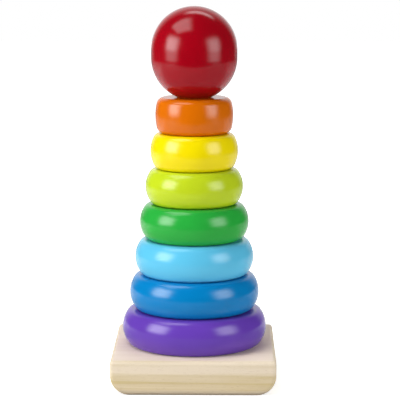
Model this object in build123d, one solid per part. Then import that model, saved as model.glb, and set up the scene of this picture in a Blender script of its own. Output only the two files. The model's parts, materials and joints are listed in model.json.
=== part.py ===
from build123d import *
import os

# Rainbow ring stacking tower, in millimetres.
# Origin: centre of the base's underside. +Z runs up the post, +X to the right, +Y to the back.

# ---- Driving dimensions ----
base_side = 102.5
base_thickness = 21.8
base_bottom_radius = 12.0  # large round along the bottom left and bottom right edges
base_edge_radius = 2.5  # easing on every other outer edge

bore_diameter = 15.5  # through the rings and up into the ball, loose on the post
bore_easing = 0.8

ring_thickness = 22.5
ring_corner_radius = 4.5  # between a ring's flat faces and its barrel-shaped outer side

# Outer diameter, and how far the side stands out from the flat faces, from the bottom of the stack up.
ring_sizes = {
    "ring_purple": (91.6, 6.6),
    "ring_blue": (82.2, 6.6),
    "ring_light_blue": (75.2, 6.6),
    "ring_green": (69.0, 6.6),
    "ring_lime": (61.8, 6.6),
    "ring_yellow": (55.2, 6.0),
    "ring_orange": (49.0, 5.2),
}

ball_diameter = 54.0
ball_flat_diameter = 21.0  # flat that rests on the top ring
ball_waist = 5.0  # short straight band between the ball's two halves
ball_bore_spare = 3.0  # how much deeper its bore is than the post tip needs

post_diameter = 13.0
post_tip_height = 22.0  # how far the post stands above the top ring
post_socket_depth = 13.0
post_glue_gap = 0.05  # radial
post_foot_chamfer = 0.8
post_tip_radius = 4.0  # rounding round the rim of the tip

screw_length = 30.0
screw_thread_diameter = 4.0
screw_point_length = 5.0
screw_head_diameter = 8.0
screw_head_height = 2.3
screw_head_rim = 0.3
screw_recess_depth = 1.4
screw_slot_width = 1.2
screw_slot_length = 4.4
screw_hole_diameter = 4.6
screw_head_hole_diameter = 9.0
screw_sink = 0.8  # how far the screw head sits inside the underside

# ---- Sizes that follow from them ----
stack_bottom = base_thickness
stack_top = stack_bottom + ring_thickness * len(ring_sizes)
post_foot = base_thickness - post_socket_depth
post_top = stack_top + post_tip_height
ball_bore_depth = post_tip_height + ball_bore_spare
screw_tip = screw_sink + screw_length


def cylinder_up(diameter, bottom, top):
    """A cylinder on the post's axis between two heights."""
    return Pos(0, 0, bottom) * Cylinder(
        diameter / 2, top - bottom, align=(Align.CENTER, Align.CENTER, Align.MIN)
    )


def turned(outline):
    """The solid that a closed outline in the XZ plane sweeps round the post's axis."""
    return revolve(make_face(outline), Axis.Z)


def make_base():
    """The block, with its post socket and, underneath, its countersunk screw hole."""
    half = base_side / 2
    inner = half - base_bottom_radius
    low = base_bottom_radius
    high = base_thickness - base_edge_radius
    shoulder = half - base_edge_radius
    with BuildSketch(Plane.XZ) as end_view:
        with BuildLine():
            Line((-inner, 0), (inner, 0))
            RadiusArc((inner, 0), (half, low), -base_bottom_radius)
            Line((half, low), (half, high))
            RadiusArc((half, high), (shoulder, base_thickness), -base_edge_radius)
            Line((shoulder, base_thickness), (-shoulder, base_thickness))
            RadiusArc((-shoulder, base_thickness), (-half, high), -base_edge_radius)
            Line((-half, high), (-half, low))
            RadiusArc((-half, low), (-inner, 0), -base_bottom_radius)
        make_face()
    block = extrude(end_view.sketch, base_side / 2, both=True)
    end_faces = [block.faces().sort_by(Axis.Y)[0], block.faces().sort_by(Axis.Y)[-1]]
    end_edges = ShapeList(edge for face in end_faces for edge in face.edges())
    block = fillet(end_edges, base_edge_radius)

    socket = cylinder_up(post_diameter + 2 * post_glue_gap, post_foot, base_thickness)
    screw_hole = cylinder_up(screw_hole_diameter, 0, post_foot)
    head_hole = cylinder_up(screw_head_hole_diameter, 0, screw_sink)
    cone_height = (screw_head_hole_diameter - screw_hole_diameter) / 2
    head_cone = Pos(0, 0, screw_sink) * Cone(
        screw_head_hole_diameter / 2,
        screw_hole_diameter / 2,
        cone_height,
        align=(Align.CENTER, Align.CENTER, Align.MIN),
    )
    return block - socket - screw_hole - head_hole - head_cone


def make_post():
    """The dowel: chamfered foot in the base, rounded tip inside the ball, pilot hole for the screw."""
    radius = post_diameter / 2
    foot = post_foot + post_foot_chamfer
    shoulder = post_top - post_tip_radius
    tip_flat = radius - post_tip_radius
    with BuildLine(Plane.XZ) as outline:
        Polyline((0, post_foot), (radius - post_foot_chamfer, post_foot), (radius, foot), (radius, shoulder))
        RadiusArc((radius, shoulder), (tip_flat, post_top), -post_tip_radius)
        Polyline((tip_flat, post_top), (0, post_top), (0, post_foot))
    dowel = turned(outline.line)
    pilot = cylinder_up(screw_thread_diameter, post_foot, screw_tip)
    return dowel - pilot


def make_post_screw():
    """Countersunk wood screw, head down; a plain shank stands for its thread."""
    radius = screw_thread_diameter / 2
    head_radius = screw_head_diameter / 2
    rim = screw_sink + screw_head_rim
    neck = screw_sink + screw_head_height
    with BuildLine(Plane.XZ) as outline:
        Polyline(
            (0, screw_sink),
            (head_radius, screw_sink),
            (head_radius, rim),
            (radius, neck),
            (radius, screw_tip - screw_point_length),
            (0, screw_tip),
            (0, screw_sink),
        )
    screw = turned(outline.line)
    slot = Pos(0, 0, screw_sink) * Box(
        screw_slot_length,
        screw_slot_width,
        screw_recess_depth,
        align=(Align.CENTER, Align.CENTER, Align.MIN),
    )
    return screw - slot - Rot(0, 0, 90) * slot


def make_ring(outer_diameter, bulge, bottom):
    """A flat-topped ring with an eased bore; its outer side is a barrel arc between two corner arcs."""
    outer_radius = outer_diameter / 2
    flat_radius = outer_radius - bulge
    bore = bore_diameter / 2
    eased = bore + bore_easing
    top = bottom + ring_thickness
    middle = (bottom + top) / 2
    corner = ring_corner_radius
    reach = ring_thickness / 2 - corner  # height of a corner arc's centre above or below the middle
    barrel = (bulge**2 - corner**2 + reach**2) / (2 * (bulge - corner))  # radius that meets both corners
    join_height = reach * barrel / (barrel - corner)
    join_radius = outer_radius - barrel + (barrel**2 - join_height**2) ** 0.5
    lower_join = (join_radius, middle - join_height)
    upper_join = (join_radius, middle + join_height)
    with BuildLine(Plane.XZ) as outline:
        Line((eased, bottom), (flat_radius, bottom))
        RadiusArc((flat_radius, bottom), lower_join, -corner)
        RadiusArc(lower_join, upper_join, -barrel)
        RadiusArc(upper_join, (flat_radius, top), -corner)
        Line((flat_radius, top), (eased, top))
        RadiusArc((eased, top), (bore, top - bore_easing), -bore_easing)
        Line((bore, top - bore_easing), (bore, bottom + bore_easing))
        RadiusArc((bore, bottom + bore_easing), (eased, bottom), -bore_easing)
    return turned(outline.line)


def make_ball():
    """Two round halves on a short straight waist, a flat underneath and a blind bore for the post tip."""
    radius = ball_diameter / 2
    flat_radius = ball_flat_diameter / 2
    bore = bore_diameter / 2
    eased = bore + bore_easing
    bottom = stack_top
    lower_centre = bottom + (radius**2 - flat_radius**2) ** 0.5
    upper_centre = lower_centre + ball_waist
    bore_end = bottom + ball_bore_depth
    with BuildLine(Plane.XZ) as outline:
        Line((eased, bottom), (flat_radius, bottom))
        RadiusArc((flat_radius, bottom), (radius, lower_centre), -radius)
        Line((radius, lower_centre), (radius, upper_centre))
        RadiusArc((radius, upper_centre), (0, upper_centre + radius), -radius)
        Polyline((0, upper_centre + radius), (0, bore_end), (bore, bore_end), (bore, bottom + bore_easing))
        RadiusArc((bore, bottom + bore_easing), (eased, bottom), -bore_easing)
    return turned(outline.line)


parts = {
    "base": make_base(),
    "post": make_post(),
    "post_screw": make_post_screw(),
    "ball": make_ball(),
}
for level, (name, (diameter, bulge)) in enumerate(ring_sizes.items()):
    parts[name] = make_ring(diameter, bulge, stack_bottom + level * ring_thickness)

os.makedirs("parts", exist_ok=True)
for name, shape in parts.items():
    export_step(shape, f"parts/{name}.step")
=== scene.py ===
# Looks for the rainbow ring stacking tower, in metres, in the CAD model's frame.
# +Z runs up the post, +X is to the right and -Y faces the camera.

import json
import math

import bmesh
import bpy
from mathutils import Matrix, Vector, noise


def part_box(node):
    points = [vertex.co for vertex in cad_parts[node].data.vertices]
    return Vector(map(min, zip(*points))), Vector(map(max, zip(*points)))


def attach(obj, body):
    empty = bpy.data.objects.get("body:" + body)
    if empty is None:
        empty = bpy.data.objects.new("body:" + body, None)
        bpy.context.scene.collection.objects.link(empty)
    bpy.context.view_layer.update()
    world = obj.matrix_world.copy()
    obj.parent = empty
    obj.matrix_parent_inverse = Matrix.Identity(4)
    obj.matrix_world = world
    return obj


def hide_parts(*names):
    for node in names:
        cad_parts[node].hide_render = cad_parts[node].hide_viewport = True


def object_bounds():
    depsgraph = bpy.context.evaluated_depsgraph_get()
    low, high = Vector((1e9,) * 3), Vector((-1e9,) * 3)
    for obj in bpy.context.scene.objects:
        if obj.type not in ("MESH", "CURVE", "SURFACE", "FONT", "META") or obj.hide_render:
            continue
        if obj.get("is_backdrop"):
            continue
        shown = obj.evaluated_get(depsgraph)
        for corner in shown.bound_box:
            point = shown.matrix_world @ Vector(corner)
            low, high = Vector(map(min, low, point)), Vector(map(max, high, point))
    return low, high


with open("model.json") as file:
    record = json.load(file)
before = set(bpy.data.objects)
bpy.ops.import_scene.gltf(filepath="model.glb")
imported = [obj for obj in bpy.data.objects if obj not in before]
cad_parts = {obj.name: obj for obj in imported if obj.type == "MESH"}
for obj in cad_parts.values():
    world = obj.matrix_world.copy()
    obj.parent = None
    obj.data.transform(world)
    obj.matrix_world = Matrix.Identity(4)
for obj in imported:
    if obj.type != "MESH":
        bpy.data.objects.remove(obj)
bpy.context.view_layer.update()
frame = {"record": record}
bodies = frame["record"]["behaviour"]["bodies"]
body_of = {node: body for body, nodes in bodies.items() for node in nodes}

MM = 0.001

# ---- Shapes that a box can't tell, the same as in the CAD model ----
RING_CORNER = 4.5 * MM
RING_BULGE = 6.6 * MM  # how far a ring's rounded side stands out from its flat faces
SMALL_RING_BULGES = {"ring_yellow": 6.0 * MM, "ring_orange": 5.2 * MM}
BORE = 7.75 * MM  # radius, in the rings and in the ball
BORE_EASING = 0.8 * MM
BALL_BORE_DEPTH = 25.0 * MM
BALL_FLAT = 10.5 * MM  # radius
BASE_ROUND = 12.0 * MM
BASE_EASING = 2.5 * MM
POST_TIP_ROUND = 4.0 * MM
POST_FOOT_CHAMFER = 0.8 * MM
SOCKET_GAP = 0.05 * MM
SCREW_HOLE = 2.3 * MM  # radius
HEAD_HOLE = 4.5 * MM  # radius
SCREW_THREAD = 2.0 * MM  # radius
SCREW_POINT = 5.0 * MM
SCREW_HEAD_RIM = 0.3 * MM
SCREW_HEAD = 2.3 * MM
SCREW_RECESS = 1.4 * MM
SCREW_SLOT_WIDTH = 1.2 * MM
SCREW_SLOT_LENGTH = 4.4 * MM

# ---- Finer shapes that only the looks have ----
SCREW_CORE = 1.35 * MM  # radius at the root of the thread
SCREW_SHANK = 9.0 * MM  # from the head's face to the start of the thread
SCREW_SHANK_RADIUS = 0.92 * SCREW_THREAD
SCREW_PITCH = 1.8 * MM
RIDGE_SHARE = 0.28  # of the pitch, on each side of the thread's crest
POINT_SWELL = 0.8  # 1 is a straight cone, and less swells it
SLOT_DRAFT = 0.8  # a slot's inner end against its mouth
WOBBLE = 0.05 * MM
WOBBLE_ROUND = 1.3  # radius of the circle through the noise that one turn makes
WOBBLE_ALONG = 55.0  # travel through the noise for each metre of height
WOBBLE_SEED_STEP = 7.3
BALL_SEED = 3.7
FLAT_MARGIN = 0.5 * MM  # a flat face has no wobble, and neither has this much round it
BALL_FLAT_MARGIN = 1.0 * MM  # nor this much above the ball's flat
SHARP_EDGE = 0.01 * MM  # radius of an easing that has shrunk away
OVERSHOOT = 1.0 * MM  # how far a cutter, or the bare wood in a bore, goes past a face

# ---- How finely the meshes are divided ----
RING_STEPS = 160  # round a ring or the ball
DOWEL_STEPS = 96
SCREW_STEPS = 48
SMOOTH_ANGLE = math.radians(35.0)

# ---- Colours, as linear red, green and blue ----
LACQUERS = {
    "ring_purple": (0.132, 0.049, 0.442),
    "ring_blue": (0.0, 0.212, 0.535),
    "ring_light_blue": (0.113, 0.545, 0.81),
    "ring_green": (0.022, 0.405, 0.048),
    "ring_lime": (0.54, 0.685, 0.015),
    "ring_yellow": (0.92, 0.74, 0.0),
    "ring_orange": (0.695, 0.15, 0.0),
    "ball": (0.352, 0.0, 0.007),
}
WOOD_LIGHT = (0.80, 0.685, 0.53)
WOOD_DARK = (0.62, 0.495, 0.265)
WOOD_PAINTED_TOP_LIGHT = (0.92, 0.77, 0.66)  # painted light: faces that look up are made paler, in place of light from above
WOOD_END_GRAIN = (0.50, 0.34, 0.20)
WOOD_PORE = (0.42, 0.28, 0.16)
WOOD_PAINTED_FOOT_SHADE = (0.26, 0.2, 0.15)  # painted shade along the edge that stands on the table
ZINC_GREY = (0.52, 0.53, 0.52)
ZINC_YELLOW = (0.66, 0.65, 0.58)
WHITE = (1.0, 1.0, 1.0)

# ---- Finishes, with lengths in millimetres ----
NOISE_LOW = 0.3  # nearly all of a noise lies between this and the next
NOISE_HIGH = 0.7
FINE_NOISE_LOW = 0.35
LACQUER_IOR = 1.45
LACQUER_ROUGHNESS = (0.13, 0.19)
LACQUER_TONES = (0.96, 1.04)
LACQUER_GRAIN = 0.3  # how much of the wood's grain shows through, as height
LACQUER_SEED_STEP = 13.7  # moves each piece to its own part of the noise
PAINT_EDGE = (8.9, 9.1)  # the lacquer stops where the radius plus a ragged noise is this
PAINT_EDGE_RAGGED = 1.2
BORE_STAIN = 0.25  # how much of the lacquer's colour the bare bore takes
BORE_ROUGHNESS = 0.65
WOOD_IOR = 1.3
WOOD_ROUGHNESS = (0.6, 0.75)
HEART = (34.0, 88.0)  # distance of the tree's heart, outside the piece
HEART_WANDER = 14.0
YEAR_RING = 4.6
YEAR_RING_EDGE = 0.12  # share of a year ring in which it fades out again
PORE_NOISE = (0.66, 0.74)
END_GRAIN_TURN = (0.75, 0.98)  # how squarely a face has to look along the grain
PAINTED_TOP_LIGHT_TURN = (0.88, 1.0)  # and how squarely up a face has to look to take the painted top light
BAND_START = 2.0  # heights of the block's yellower band
BAND_MIDDLE = 8.0
BAND_END = 16.0
# painted shade at the block's foot: full below the first height, gone above the second, in millimetres
PAINTED_FOOT_SHADE_HEIGHTS = (1.0, 4.5)
ZINC_ROUGHNESS = (0.25, 0.45)

# ---- How much of its own colour each feature gives the bare wood ----
YEAR_RING_TONE = 0.4
STREAK_TONES = (-0.3, 0.4)
FIBRE_TONES = (-0.12, 0.12)
BAND_TONES = (0.35, 1.0)
PORE_TONE = 0.35
END_GRAIN_TONE = 0.22
# painted light on faces that look up
PAINTED_TOP_LIGHT_TONE = 0.6
# painted shade at the block's foot
PAINTED_FOOT_SHADE_TONE = 0.75

# ---- Studio ----
FLOOR_SIDES = 1.3  # how far the table reaches left and right
FLOOR_FRONT = 0.5
FLOOR_BACK = 3.0
FLOOR_TONE = 0.8
FLOOR_MIRRORED_FRONT = 0.46  # darker in the lacquer's reflections, but pale again at the back
FLOOR_MIRRORED_BACK = 1.2
FLOOR_MIRRORED_TURN = (0.05, 0.2)  # from one to the other, as distances behind the post
FLOOR_LIFT_NEAR = 0.6  # added white, for the camera only
FLOOR_LIFT_FAR = 1.05
FLOOR_LIFT_TURN = (0.05, 0.35)
WORLD_FRONT = 0.045
WORLD_BACK = 1.0
WORLD_RISE = 0.25  # how much the backdrop leans over the tower
WORLD_TURN = (0.68, 0.98)
STUDIO_CENTRE = Vector((0, 0, 0.12))
SIDE_BOX_DISTANCE = 0.95

# ---- Camera ----
CAMERA_PLACE = Vector((0.018, -1.1, 0.292))
CAMERA_LENS = 158.3
CAMERA_SENSOR = 36.0
CAMERA_PITCH = math.radians(9.20)
CAMERA_YAW = math.radians(-0.75)


# ---- Mesh building ----


def arc(centre, radius, start, end, steps):
    """Points on an arc in the (radius, height) plane, angles in degrees."""
    points = []
    for i in range(steps + 1):
        angle = math.radians(start + (end - start) * i / steps)
        points.append((centre[0] + radius * math.cos(angle), centre[1] + radius * math.sin(angle)))
    return points


def line(start, end, steps):
    """Points between two ends, leaving out both ends."""
    points = []
    for i in range(1, steps):
        t = i / steps
        points.append((start[0] + (end[0] - start[0]) * t, start[1] + (end[1] - start[1]) * t))
    return points


def mesh_object(bm, name):
    """Turns a bmesh into an object in the scene."""
    mesh = bpy.data.meshes.new(name)
    bm.to_mesh(mesh)
    bm.free()
    obj = bpy.data.objects.new(name, mesh)
    bpy.context.scene.collection.objects.link(obj)
    return obj


def smooth(mesh):
    """Smooth shading, except at sharp edges."""
    mesh.shade_smooth()
    mesh.set_sharp_from_angle(angle=SMOOTH_ANGLE)


def solid_object(bm, name):
    """Turns a closed bmesh into a smooth object."""
    bmesh.ops.recalc_face_normals(bm, faces=bm.faces)
    obj = mesh_object(bm, name)
    smooth(obj.data)
    return obj


def lathe(name, profile, steps, relief=None):
    """A closed (radius, height) profile swept round the Z axis. Points on the axis become single vertices.

    relief(radius, height, angle) may add to a point's radius.
    """
    bm = bmesh.new()
    columns = []
    for radius, height in profile:
        if radius == 0:
            columns.append([bm.verts.new((0, 0, height))])
            continue
        column = []
        for i in range(steps):
            angle = 2 * math.pi * i / steps
            r = radius + (relief(radius, height, angle) if relief else 0)
            column.append(bm.verts.new((r * math.cos(angle), r * math.sin(angle), height)))
        columns.append(column)
    for a, b in zip(columns, columns[1:] + columns[:1]):
        for i in range(steps):
            j = (i + 1) % steps
            corners = [a[i % len(a)], a[j % len(a)], b[j % len(b)], b[i % len(b)]]
            corners = list(dict.fromkeys(corners))
            if len(corners) > 2:
                bm.faces.new(corners)
    return solid_object(bm, name)


def cut(obj, cutter):
    """Cuts one mesh out of another, for good."""
    modifier = obj.modifiers.new("cut", "BOOLEAN")
    modifier.operation = "DIFFERENCE"
    modifier.solver = "EXACT"
    modifier.object = cutter
    graph = bpy.context.evaluated_depsgraph_get()
    mesh = bpy.data.meshes.new_from_object(obj.evaluated_get(graph))
    obj.modifiers.clear()
    obj.data = mesh
    smooth(mesh)
    bpy.data.objects.remove(cutter)


# ---- Pieces ----


def hand_turned(seed, is_side):
    """The relief of lacquered turned wood: a few hundredths of a millimetre where is_side() is true."""

    def wobble(radius, height, angle):
        if not is_side(radius, height):
            return 0
        x = math.cos(angle) * WOBBLE_ROUND
        y = math.sin(angle) * WOBBLE_ROUND
        return WOBBLE * noise.noise(Vector((x, y, height * WOBBLE_ALONG + seed * WOBBLE_SEED_STEP)))

    return wobble


def ring_side(outer, bulge, bottom, top):
    """A ring's rounded side, from its bottom face to its top: a barrel arc between two corner arcs."""
    half = (top - bottom) / 2
    barrel = (bulge**2 - RING_CORNER**2 + (half - RING_CORNER) ** 2) / (2 * (bulge - RING_CORNER))
    turn = math.degrees(math.asin((half - RING_CORNER) / (barrel - RING_CORNER)))
    flat = outer - bulge
    side = arc((flat, bottom + RING_CORNER), RING_CORNER, -90, -turn, steps=12)
    side += arc((outer - barrel, bottom + half), barrel, -turn, turn, steps=36)[1:]
    side += arc((flat, top - RING_CORNER), RING_CORNER, turn, 90, steps=12)[1:]
    return side


def make_ring(name, seed):
    """A flat-faced ring with an eased bore and a barrel-shaped side."""
    low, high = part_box(name)
    bottom, top = low.z, high.z
    bulge = SMALL_RING_BULGES.get(name, RING_BULGE)
    flat = high.x - bulge
    eased = BORE + BORE_EASING
    side = ring_side(high.x, bulge, bottom, top)
    upper_easing = arc((eased, top - BORE_EASING), BORE_EASING, 90, 180, steps=6)
    lower_easing = arc((eased, bottom + BORE_EASING), BORE_EASING, 180, 270, steps=6)
    profile = side + line(side[-1], upper_easing[0], steps=10) + upper_easing
    profile += line(upper_easing[-1], lower_easing[0], steps=10) + lower_easing
    profile += line(lower_easing[-1], side[0], steps=10)
    wobble = hand_turned(seed, lambda radius, height: radius > flat + FLAT_MARGIN)
    return lathe(name + "_turned", profile, RING_STEPS, wobble)


def make_ball():
    """Two round halves on a short straight waist, with a flat underneath and a blind bore."""
    low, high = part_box("ball")
    radius = high.x
    bottom = low.z
    lower_centre = bottom + math.sqrt(radius**2 - BALL_FLAT**2)
    flat_angle = -math.degrees(math.acos(BALL_FLAT / radius))
    bore_end = bottom + BALL_BORE_DEPTH
    lower_half = arc((0, lower_centre), radius, flat_angle, 0, steps=40)
    upper_half = arc((0, high.z - radius), radius, 0, 90, steps=44)
    upper_half[-1] = (0, high.z)
    easing = arc((BORE + BORE_EASING, bottom + BORE_EASING), BORE_EASING, 180, 270, steps=6)
    profile = lower_half + line(lower_half[-1], upper_half[0], steps=4) + upper_half
    profile += [(0, bore_end), (BORE / 2, bore_end), (BORE, bore_end)]
    profile += line(profile[-1], easing[0], steps=12) + easing
    profile += line(easing[-1], lower_half[0], steps=3)

    def is_side(r, height):
        return r > BALL_FLAT + FLAT_MARGIN and height > bottom + BALL_FLAT_MARGIN

    return lathe("ball_turned", profile, RING_STEPS, hand_turned(BALL_SEED, is_side))


def base_outline(half, thickness, inset):
    """The block's end view, moved inwards by inset: (x, z) points round the loop."""
    low = BASE_ROUND
    high = thickness - BASE_EASING
    shoulder = half - BASE_EASING
    inner = half - BASE_ROUND
    corner = BASE_ROUND - inset
    edge = max(BASE_EASING - inset, SHARP_EDGE)
    loop = arc((inner, low), corner, -90, 0, steps=18)
    loop += line((half - inset, low), (half - inset, high), steps=4)
    loop += arc((shoulder, high), edge, 0, 90, steps=8)
    loop += line((shoulder, thickness - inset), (-shoulder, thickness - inset), steps=24)
    loop += arc((-shoulder, high), edge, 90, 180, steps=8)
    loop += line((inset - half, high), (inset - half, low), steps=4)
    loop += arc((-inner, low), corner, 180, 270, steps=18)
    loop += line((-inner, inset), (inner, inset), steps=20)
    return loop


def make_block():
    """The rounded block on its own, with no holes: outlines along Y, inset at its two eased ends."""
    low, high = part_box("base")
    front = arc((low.y + BASE_EASING, BASE_EASING), BASE_EASING, 180, 270, steps=8)
    back = [(-y, inset) for y, inset in reversed(front)]
    bm = bmesh.new()
    loops = []
    for y, inset in front + back:
        loops.append([bm.verts.new((x, y, z)) for x, z in base_outline(high.x, high.z, inset)])
    for a, b in zip(loops, loops[1:]):
        for i in range(len(a)):
            j = (i + 1) % len(a)
            bm.faces.new((a[i], a[j], b[j], b[i]))
    bm.faces.new(loops[0])
    bm.faces.new(loops[-1])
    return solid_object(bm, "base_block")


def make_base():
    """The block with its post socket and, underneath, its countersunk screw hole."""
    base = make_block()
    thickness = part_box("base")[1].z
    post_low, post_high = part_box("post")
    screw_low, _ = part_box("post_screw")
    socket = post_high.x + SOCKET_GAP
    cone_top = screw_low.z + HEAD_HOLE - SCREW_HOLE
    profile = [
        (0, -OVERSHOOT),
        (HEAD_HOLE, -OVERSHOOT),
        (HEAD_HOLE, screw_low.z),
        (SCREW_HOLE, cone_top),
        (SCREW_HOLE, post_low.z),
        (socket, post_low.z),
        (socket, thickness + OVERSHOOT),
        (0, thickness + OVERSHOOT),
    ]
    cut(base, lathe("base_cutter", profile, DOWEL_STEPS))
    return base


def make_post():
    """The dowel: chamfered foot, rounded tip, and a pilot hole for the screw."""
    low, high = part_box("post")
    radius = high.x
    pilot_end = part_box("post_screw")[1].z
    foot = low.z + POST_FOOT_CHAMFER
    tip = arc((radius - POST_TIP_ROUND, high.z - POST_TIP_ROUND), POST_TIP_ROUND, 0, 90, steps=14)
    profile = [(SCREW_THREAD, low.z), (radius - POST_FOOT_CHAMFER, low.z), (radius, foot)]
    profile += line(profile[-1], tip[0], steps=60) + tip
    profile += [(0, high.z), (0, pilot_end), (SCREW_THREAD, pilot_end)]
    return lathe("post_dowel", profile, DOWEL_STEPS)


def thread_radius(height, angle, bottom, tip):
    """The screw's radius on its way up: shank, thread ridge, then the point."""
    if height < bottom + SCREW_SHANK:
        return SCREW_SHANK_RADIUS
    turn = (height / SCREW_PITCH - angle / (2 * math.pi)) % 1.0
    ridge = max(0.0, 1 - abs(turn - 0.5) / RIDGE_SHARE)
    taper = min(1.0, (tip - height) / SCREW_POINT)
    return (SCREW_CORE + (SCREW_THREAD - SCREW_CORE) * ridge) * taper**POINT_SWELL


def slot_cutter(across, bottom, depth):
    """A block that reaches from below a face up to a depth inside it, narrower at its inner end."""
    bm = bmesh.new()
    made = bmesh.ops.create_cube(bm, size=1.0)
    for vert in made["verts"]:
        inner = vert.co.z > 0
        draft = SLOT_DRAFT if inner else 1.0
        vert.co.x *= across[0] * draft
        vert.co.y *= across[1] * draft
        vert.co.z = bottom + depth if inner else bottom - depth
    return solid_object(bm, "slot_cutter")


def make_screw():
    """Countersunk wood screw, head down, with a real thread and a cross recess."""
    low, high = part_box("post_screw")
    head = high.x
    bottom, tip = low.z, high.z
    neck = (SCREW_SHANK_RADIUS, bottom + SCREW_HEAD)
    profile = [(0, bottom), (0.6 * head, bottom), (head, bottom), (head, bottom + SCREW_HEAD_RIM)]
    profile += line(profile[-1], neck, steps=4)
    profile += [neck] + line(neck, (SCREW_SHANK_RADIUS, tip), steps=180)
    profile.append((0, tip))

    def thread(radius, height, angle):
        return thread_radius(height, angle, bottom, tip) - radius if height >= neck[1] else 0

    screw = lathe("screw_threaded", profile, SCREW_STEPS, thread)
    for across in ((SCREW_SLOT_LENGTH, SCREW_SLOT_WIDTH), (SCREW_SLOT_WIDTH, SCREW_SLOT_LENGTH)):
        cut(screw, slot_cutter(across, bottom, SCREW_RECESS))
    return screw


# ---- Materials ----


class Nodes:
    """A node tree. Most methods add a node and return its output, which can be another node's input."""

    def __init__(self, tree):
        self.tree = tree
        tree.nodes.clear()

    def put(self, value, socket):
        """Links an output to an input, or sets the input to a plain value."""
        if isinstance(value, bpy.types.NodeSocket):
            self.tree.links.new(value, socket)
        else:
            socket.default_value = value

    def add(self, kind, inputs=None, output=0, **settings):
        """Any shader node, with its inputs by name or number."""
        node = self.tree.nodes.new("ShaderNode" + kind)
        for key, value in settings.items():
            setattr(node, key, value)
        for key, value in (inputs or {}).items():
            self.put(value, node.inputs[key])
        return node.outputs[output]

    def math(self, operation, a, b=0.0, clamp=False):
        """A sum, product or other function of one or two values."""
        return self.add("Math", {0: a, 1: b}, operation=operation, use_clamp=clamp)

    def remap(self, value, from_low, from_high, to_low=0.0, to_high=1.0, **settings):
        """A value's range stretched to another one, and held inside it."""
        inputs = {
            "Value": value,
            "From Min": from_low,
            "From Max": from_high,
            "To Min": to_low,
            "To Max": to_high,
        }
        return self.add("MapRange", inputs, **settings)

    def mix(self, factor, a, b):
        """Mixes two colours."""
        node = self.tree.nodes.new("ShaderNodeMix")
        node.data_type = "RGBA"
        for key, value in {"Factor": factor, "A": a, "B": b}.items():
            socket = [s for s in node.inputs if s.name == key and s.enabled][0]
            self.put(value, socket)
        return [s for s in node.outputs if s.enabled][0]

    def split(self, vector):
        """A vector's three parts."""
        node = self.tree.nodes.new("ShaderNodeSeparateXYZ")
        self.tree.links.new(vector, node.inputs[0])
        return list(node.outputs)

    def scaled(self, vector, scale):
        """A vector times a scale for each axis."""
        return self.add("Mapping", {"Vector": vector, "Scale": scale})

    def place(self, unit):
        """The piece's own coordinates, in a unit of so many metres."""
        return self.scaled(self.add("TexCoord", output="Object"), [1 / unit] * 3)

    def grain(self, vector, axis, along, across):
        """A vector scaled one way along an axis and another way across it."""
        scale = [across, across, across]
        scale[axis] = along
        return self.scaled(vector, scale)

    def noise(self, vector, scale=1.0, detail=2.0, rough=0.5):
        """Cloudy noise round 0.5."""
        inputs = {"Vector": vector, "Scale": scale, "Detail": detail, "Roughness": rough}
        return self.add("TexNoise", inputs)

    def spread(self, noise, low=0.0, high=1.0):
        """A noise stretched so that it runs from low to high."""
        return self.remap(noise, NOISE_LOW, NOISE_HIGH, low, high)

    def per_ray(self, kind, value, otherwise):
        """One value for a kind of ray, and another for all other rays."""
        return self.remap(self.add("LightPath", output=kind), 0.0, 1.0, otherwise, value)

    def surface(self, **inputs):
        """The usual shader. An underscore in an input's name stands for a space."""
        named = {name.replace("_", " "): value for name, value in inputs.items()}
        return self.add("BsdfPrincipled", named)

    def finish(self, shader, kind="OutputMaterial"):
        """Links a shader to the tree's output."""
        output = self.tree.nodes.new("ShaderNode" + kind)
        self.tree.links.new(shader, output.inputs["Surface"])


def new_material(name):
    """A material and its empty node tree."""
    material = bpy.data.materials.new(name)
    material.use_nodes = True
    return material, Nodes(material.node_tree)


def rgba(colour, factor=1.0):
    """A colour times a factor, with full alpha."""
    return tuple(min(1.0, channel * factor) for channel in colour) + (1.0,)


def lacquer(name, colour, seed, bore_end):
    """Glossy toy lacquer over wood: small changes of tone and gloss, faint grain, bare wood in the bore."""
    material, n = new_material(name)
    own = n.place(MM)
    offset = seed * LACQUER_SEED_STEP
    where = n.add("VectorMath", {0: own, 1: (offset, offset, 0)}, operation="ADD")
    broad = n.spread(n.noise(where, scale=0.035))
    body = n.mix(broad, rgba(colour, LACQUER_TONES[0]), rgba(colour, LACQUER_TONES[1]))

    fibres = n.noise(n.grain(where, 0, along=0.04, across=0.9), detail=4.0, rough=0.6)
    grain = n.remap(fibres, FINE_NOISE_LOW, NOISE_HIGH)
    orange_peel = n.noise(where, scale=0.35)
    height = n.math("ADD", n.math("MULTIPLY", grain, LACQUER_GRAIN), orange_peel)
    bump = n.add("Bump", {"Height": height, "Strength": 0.1, "Distance": 0.05 * MM})
    handled = n.noise(where, scale=0.12, detail=4.0, rough=0.6)
    rough = n.remap(handled, FINE_NOISE_LOW, NOISE_HIGH, *LACQUER_ROUGHNESS)
    paint = n.surface(Base_Color=body, Roughness=rough, IOR=LACQUER_IOR, Normal=bump)

    flat = n.add("VectorMath", {0: own, 1: (1, 1, 0)}, operation="MULTIPLY")
    radius = n.add("VectorMath", {0: flat}, output="Value", operation="LENGTH")
    drips = n.noise(where, scale=0.7, detail=4.0)
    ragged = n.math("ADD", radius, n.math("MULTIPLY", drips, PAINT_EDGE_RAGGED))
    below_end = n.math("LESS_THAN", n.split(own)[2], bore_end / MM)
    bare = n.math("MULTIPLY", n.remap(ragged, *PAINT_EDGE, 1.0, 0.0), below_end)
    stained = n.mix(BORE_STAIN, n.mix(grain, rgba(WOOD_LIGHT), rgba(WOOD_DARK)), rgba(colour))
    wood = n.surface(Base_Color=stained, Roughness=BORE_ROUGHNESS, Normal=bump)
    n.finish(n.add("MixShader", {0: bare, 1: paint, 2: wood}))
    return material


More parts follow.
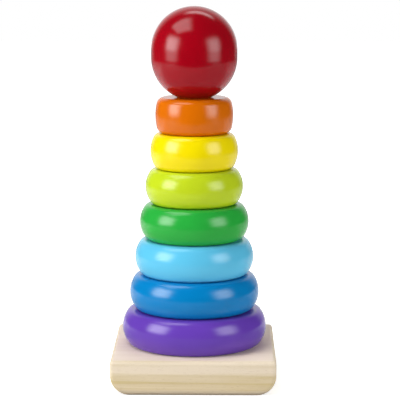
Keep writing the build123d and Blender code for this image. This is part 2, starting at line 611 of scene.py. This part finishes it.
def year_rings(n, where, axis):
    """The grain's year rings: each one darkens slowly, then ends at a sharp edge."""
    wander = n.noise(n.grain(where, axis, along=0.0018, across=0.03))
    across = [part for i, part in enumerate(n.split(where)) if i != axis]
    a = n.math("ADD", across[0], HEART[0])
    b = n.math("ADD", across[1], HEART[1])
    radius = n.math("SQRT", n.math("ADD", n.math("MULTIPLY", a, a), n.math("MULTIPLY", b, b)))
    radius = n.math("ADD", radius, n.math("MULTIPLY", wander, HEART_WANDER))
    year = n.math("FRACT", n.math("DIVIDE", radius, YEAR_RING))
    late = n.math("POWER", year, 3.0)
    edge = n.remap(n.math("SUBTRACT", 1.0, year), 0.0, YEAR_RING_EDGE)
    return n.math("MULTIPLY", late, edge)


def pale_wood(name, axis):
    """Bare pale wood, smoothed with sandpaper, as a solid texture, its grain along the given axis (0 for X,
    2 for Z). Faces that look up get painted light, and the block's foot gets painted shade.
    """
    material, n = new_material(name)
    where = n.place(MM)
    height = n.split(where)[2]
    fibres = n.noise(n.grain(where, axis, along=0.05, across=1.6), detail=5.0, rough=0.6)
    streaks = n.noise(n.grain(where, axis, along=0.008, across=0.17), detail=3.0, rough=0.55)
    specks = n.noise(n.grain(where, axis, along=0.35, across=4.5), detail=1.0, rough=0.4)
    pore = n.remap(specks, *PORE_NOISE)

    tone = n.math("MULTIPLY", year_rings(n, where, axis), YEAR_RING_TONE)
    tone = n.math("ADD", tone, n.spread(streaks, *STREAK_TONES))
    rise = n.remap(height, BAND_START, BAND_MIDDLE, *BAND_TONES)
    fall = n.remap(height, BAND_MIDDLE, BAND_END, 1.0, 0.0)
    tone = n.math("ADD", tone, n.math("MULTIPLY", rise, fall))
    tone = n.math("ADD", tone, n.spread(fibres, *FIBRE_TONES), clamp=True)
    colour = n.mix(tone, rgba(WOOD_LIGHT), rgba(WOOD_DARK))
    colour = n.mix(n.math("MULTIPLY", pore, PORE_TONE), colour, rgba(WOOD_PORE))

    facing = n.split(n.add("NewGeometry", output="Normal"))
    end_grain = n.remap(n.math("ABSOLUTE", facing[axis]), *END_GRAIN_TURN, 0.0, END_GRAIN_TONE)
    colour = n.mix(end_grain, colour, rgba(WOOD_END_GRAIN))
    # painted light: faces that look up are mixed towards a paler wood colour
    painted_top_light = n.remap(facing[2], *PAINTED_TOP_LIGHT_TURN, 0.0, PAINTED_TOP_LIGHT_TONE)
    colour = n.mix(painted_top_light, colour, rgba(WOOD_PAINTED_TOP_LIGHT))
    # painted shade: darker towards the bottom of the block, where it meets the table
    painted_foot_shade = n.remap(n.math("ADD", height, fibres), *PAINTED_FOOT_SHADE_HEIGHTS, PAINTED_FOOT_SHADE_TONE, 0.0)
    colour = n.mix(painted_foot_shade, colour, rgba(WOOD_PAINTED_FOOT_SHADE))

    relief = n.math("SUBTRACT", n.math("MULTIPLY", fibres, 0.6), pore)
    bump = n.add("Bump", {"Height": relief, "Strength": 0.3, "Distance": 0.08 * MM})
    rough = n.spread(fibres, *WOOD_ROUGHNESS)
    n.finish(n.surface(Base_Color=colour, Roughness=rough, IOR=WOOD_IOR, Normal=bump))
    return material


def zinc_plated_steel(name):
    """Bright plating in two slightly different tones."""
    material, n = new_material(name)
    where = n.place(MM)
    patches = n.spread(n.noise(where, scale=0.5, detail=4.0))
    colour = n.mix(patches, rgba(ZINC_GREY), rgba(ZINC_YELLOW))
    rough = n.spread(n.noise(where, scale=3.0, detail=4.0), *ZINC_ROUGHNESS)
    dents = n.noise(where, scale=4.0, detail=3.0)
    bump = n.add("Bump", {"Height": dents, "Strength": 0.2, "Distance": 0.02 * MM})
    n.finish(n.surface(Base_Color=colour, Metallic=1.0, Roughness=rough, Normal=bump))
    return material


def dress(piece, node, material):
    """Gives a finished piece its material, and puts it in place of its CAD node."""
    piece.data.materials.clear()
    piece.data.materials.append(material)
    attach(piece, body_of[node])
    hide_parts(node)


# ---- Stage ----


def white_floor():
    """A pale tabletop that the camera sees as plain white, apart from the shadow at the block's foot."""
    bm = bmesh.new()
    corners = []
    for x, y in ((-1, -FLOOR_FRONT), (1, -FLOOR_FRONT), (1, FLOOR_BACK), (-1, FLOOR_BACK)):
        corners.append(bm.verts.new((x * FLOOR_SIDES, y, 0)))
    bm.faces.new(corners)
    floor = mesh_object(bm, "floor")
    material, n = new_material("floor_white")
    where = n.place(1)
    _, behind, _ = n.split(where)
    mirrored = n.remap(behind, *FLOOR_MIRRORED_TURN, FLOOR_MIRRORED_FRONT, FLOOR_MIRRORED_BACK)
    table = n.add("BsdfDiffuse", {"Color": n.per_ray("Is Glossy Ray", mirrored, FLOOR_TONE)})
    away = n.add("VectorMath", {0: where}, output="Value", operation="LENGTH")
    lift = n.remap(away, *FLOOR_LIFT_TURN, FLOOR_LIFT_NEAR, FLOOR_LIFT_FAR)
    strength = n.per_ray("Is Camera Ray", lift, 0.0)
    glow = n.add("Emission", {"Color": rgba(WHITE), "Strength": strength})
    n.finish(n.add("AddShader", {0: table, 1: glow}))
    floor.data.materials.append(material)
    floor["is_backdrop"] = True


def studio_world():
    """White where the camera looks. For light, a white backdrop that fades out to a dark room."""
    world = bpy.data.worlds.new("studio")
    bpy.context.scene.world = world
    world.use_nodes = True
    n = Nodes(world.node_tree)
    _, back, up = n.split(n.add("TexCoord", output="Generated"))
    toward = n.math("ADD", back, n.math("MULTIPLY", up, WORLD_RISE))
    backdrop = n.remap(toward, *WORLD_TURN, WORLD_FRONT, WORLD_BACK)
    strength = n.per_ray("Is Camera Ray", 1.0, backdrop)
    n.finish(n.add("Background", {"Color": rgba(WHITE), "Strength": strength}), "OutputWorld")


def softbox(name, place, target, size, radiance, softness):
    """An area light that faces the target.

    The radiance is that of its middle, and softness is the share of each side over which it fades in.
    """
    data = bpy.data.lights.new(name, "AREA")
    data.shape = "RECTANGLE"
    data.size, data.size_y = size
    data.energy = radiance * math.pi * size[0] * size[1]
    data.use_nodes = True
    n = Nodes(data.node_tree)
    glow = 1.0
    for across, soft in zip(n.split(n.add("NewGeometry", output="Parametric")), softness):
        for edge, inside in ((0.0, soft), (1.0, 1.0 - soft)):
            fade = n.remap(across, edge, inside, interpolation_type="SMOOTHSTEP")
            glow = n.math("MULTIPLY", fade, glow)
    n.finish(n.add("Emission", {"Color": rgba(WHITE), "Strength": glow}), "OutputLight")
    light = bpy.data.objects.new(name, data)
    light.location = place
    light.rotation_euler = (place - target).to_track_quat("Z", "Y").to_euler()
    light.visible_camera = False
    bpy.context.scene.collection.objects.link(light)


def side_box(name, azimuth, elevation, size, radiance, softness):
    """A softbox that faces the tower, at an azimuth in degrees from the camera's side towards +X."""
    a = math.radians(azimuth)
    e = math.radians(elevation)
    away = Vector((math.sin(a) * math.cos(e), -math.cos(a) * math.cos(e), math.sin(e)))
    place = STUDIO_CENTRE + away * SIDE_BOX_DISTANCE
    softbox(name, place, STUDIO_CENTRE, size, radiance, softness)


def ceiling_box(name, place, size, radiance, softness):
    """A softbox that faces straight down. It has to hang higher than any piece is lifted."""
    below = Vector(place) - Vector((0, 0, 1))
    softbox(name, Vector(place), below, size, radiance, softness)


def photo_camera():
    """A long lens, a little above the tower and almost straight in front of it."""
    data = bpy.data.cameras.new("camera")
    data.sensor_width = CAMERA_SENSOR
    data.lens = CAMERA_LENS
    data.clip_end = 20.0
    camera = bpy.data.objects.new("camera", data)
    camera.location = CAMERA_PLACE
    forward = Vector((math.sin(CAMERA_YAW), math.cos(CAMERA_YAW), -math.tan(CAMERA_PITCH)))
    camera.rotation_euler = (-forward).to_track_quat("Z", "Y").to_euler()
    bpy.context.scene.collection.objects.link(camera)
    bpy.context.scene.camera = camera


for number, (node, colour) in enumerate(LACQUERS.items()):
    low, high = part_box(node)
    if node == "ball":
        piece = make_ball()
        bore_end = low.z + BALL_BORE_DEPTH
    else:
        piece = make_ring(node, number)
        bore_end = high.z
    dress(piece, node, lacquer(node + "_lacquer", colour, number, bore_end + OVERSHOOT))

dress(make_base(), "base", pale_wood("block_wood", 0))
dress(make_post(), "post", pale_wood("dowel_wood", 2))
dress(make_screw(), "post_screw", zinc_plated_steel("screw_steel"))

white_floor()
studio_world()
side_box("left_box", azimuth=-62, elevation=18, size=(0.88, 0.82), radiance=8.0, softness=(0.38, 0.35))
side_box("right_box", azimuth=55, elevation=16, size=(0.92, 0.86), radiance=5.0, softness=(0.42, 0.35))
ceiling_box("top_box", (-0.67, -0.35, 1.4), size=(1.36, 1.28), radiance=3.6, softness=(0.25, 0.25))
ceiling_box("back_box", (0.24, 0.72, 1.45), size=(1.44, 0.48), radiance=3.6, softness=(0.3, 0.3))
photo_camera()
bpy.context.scene.view_settings.view_transform = "Standard"

low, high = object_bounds()
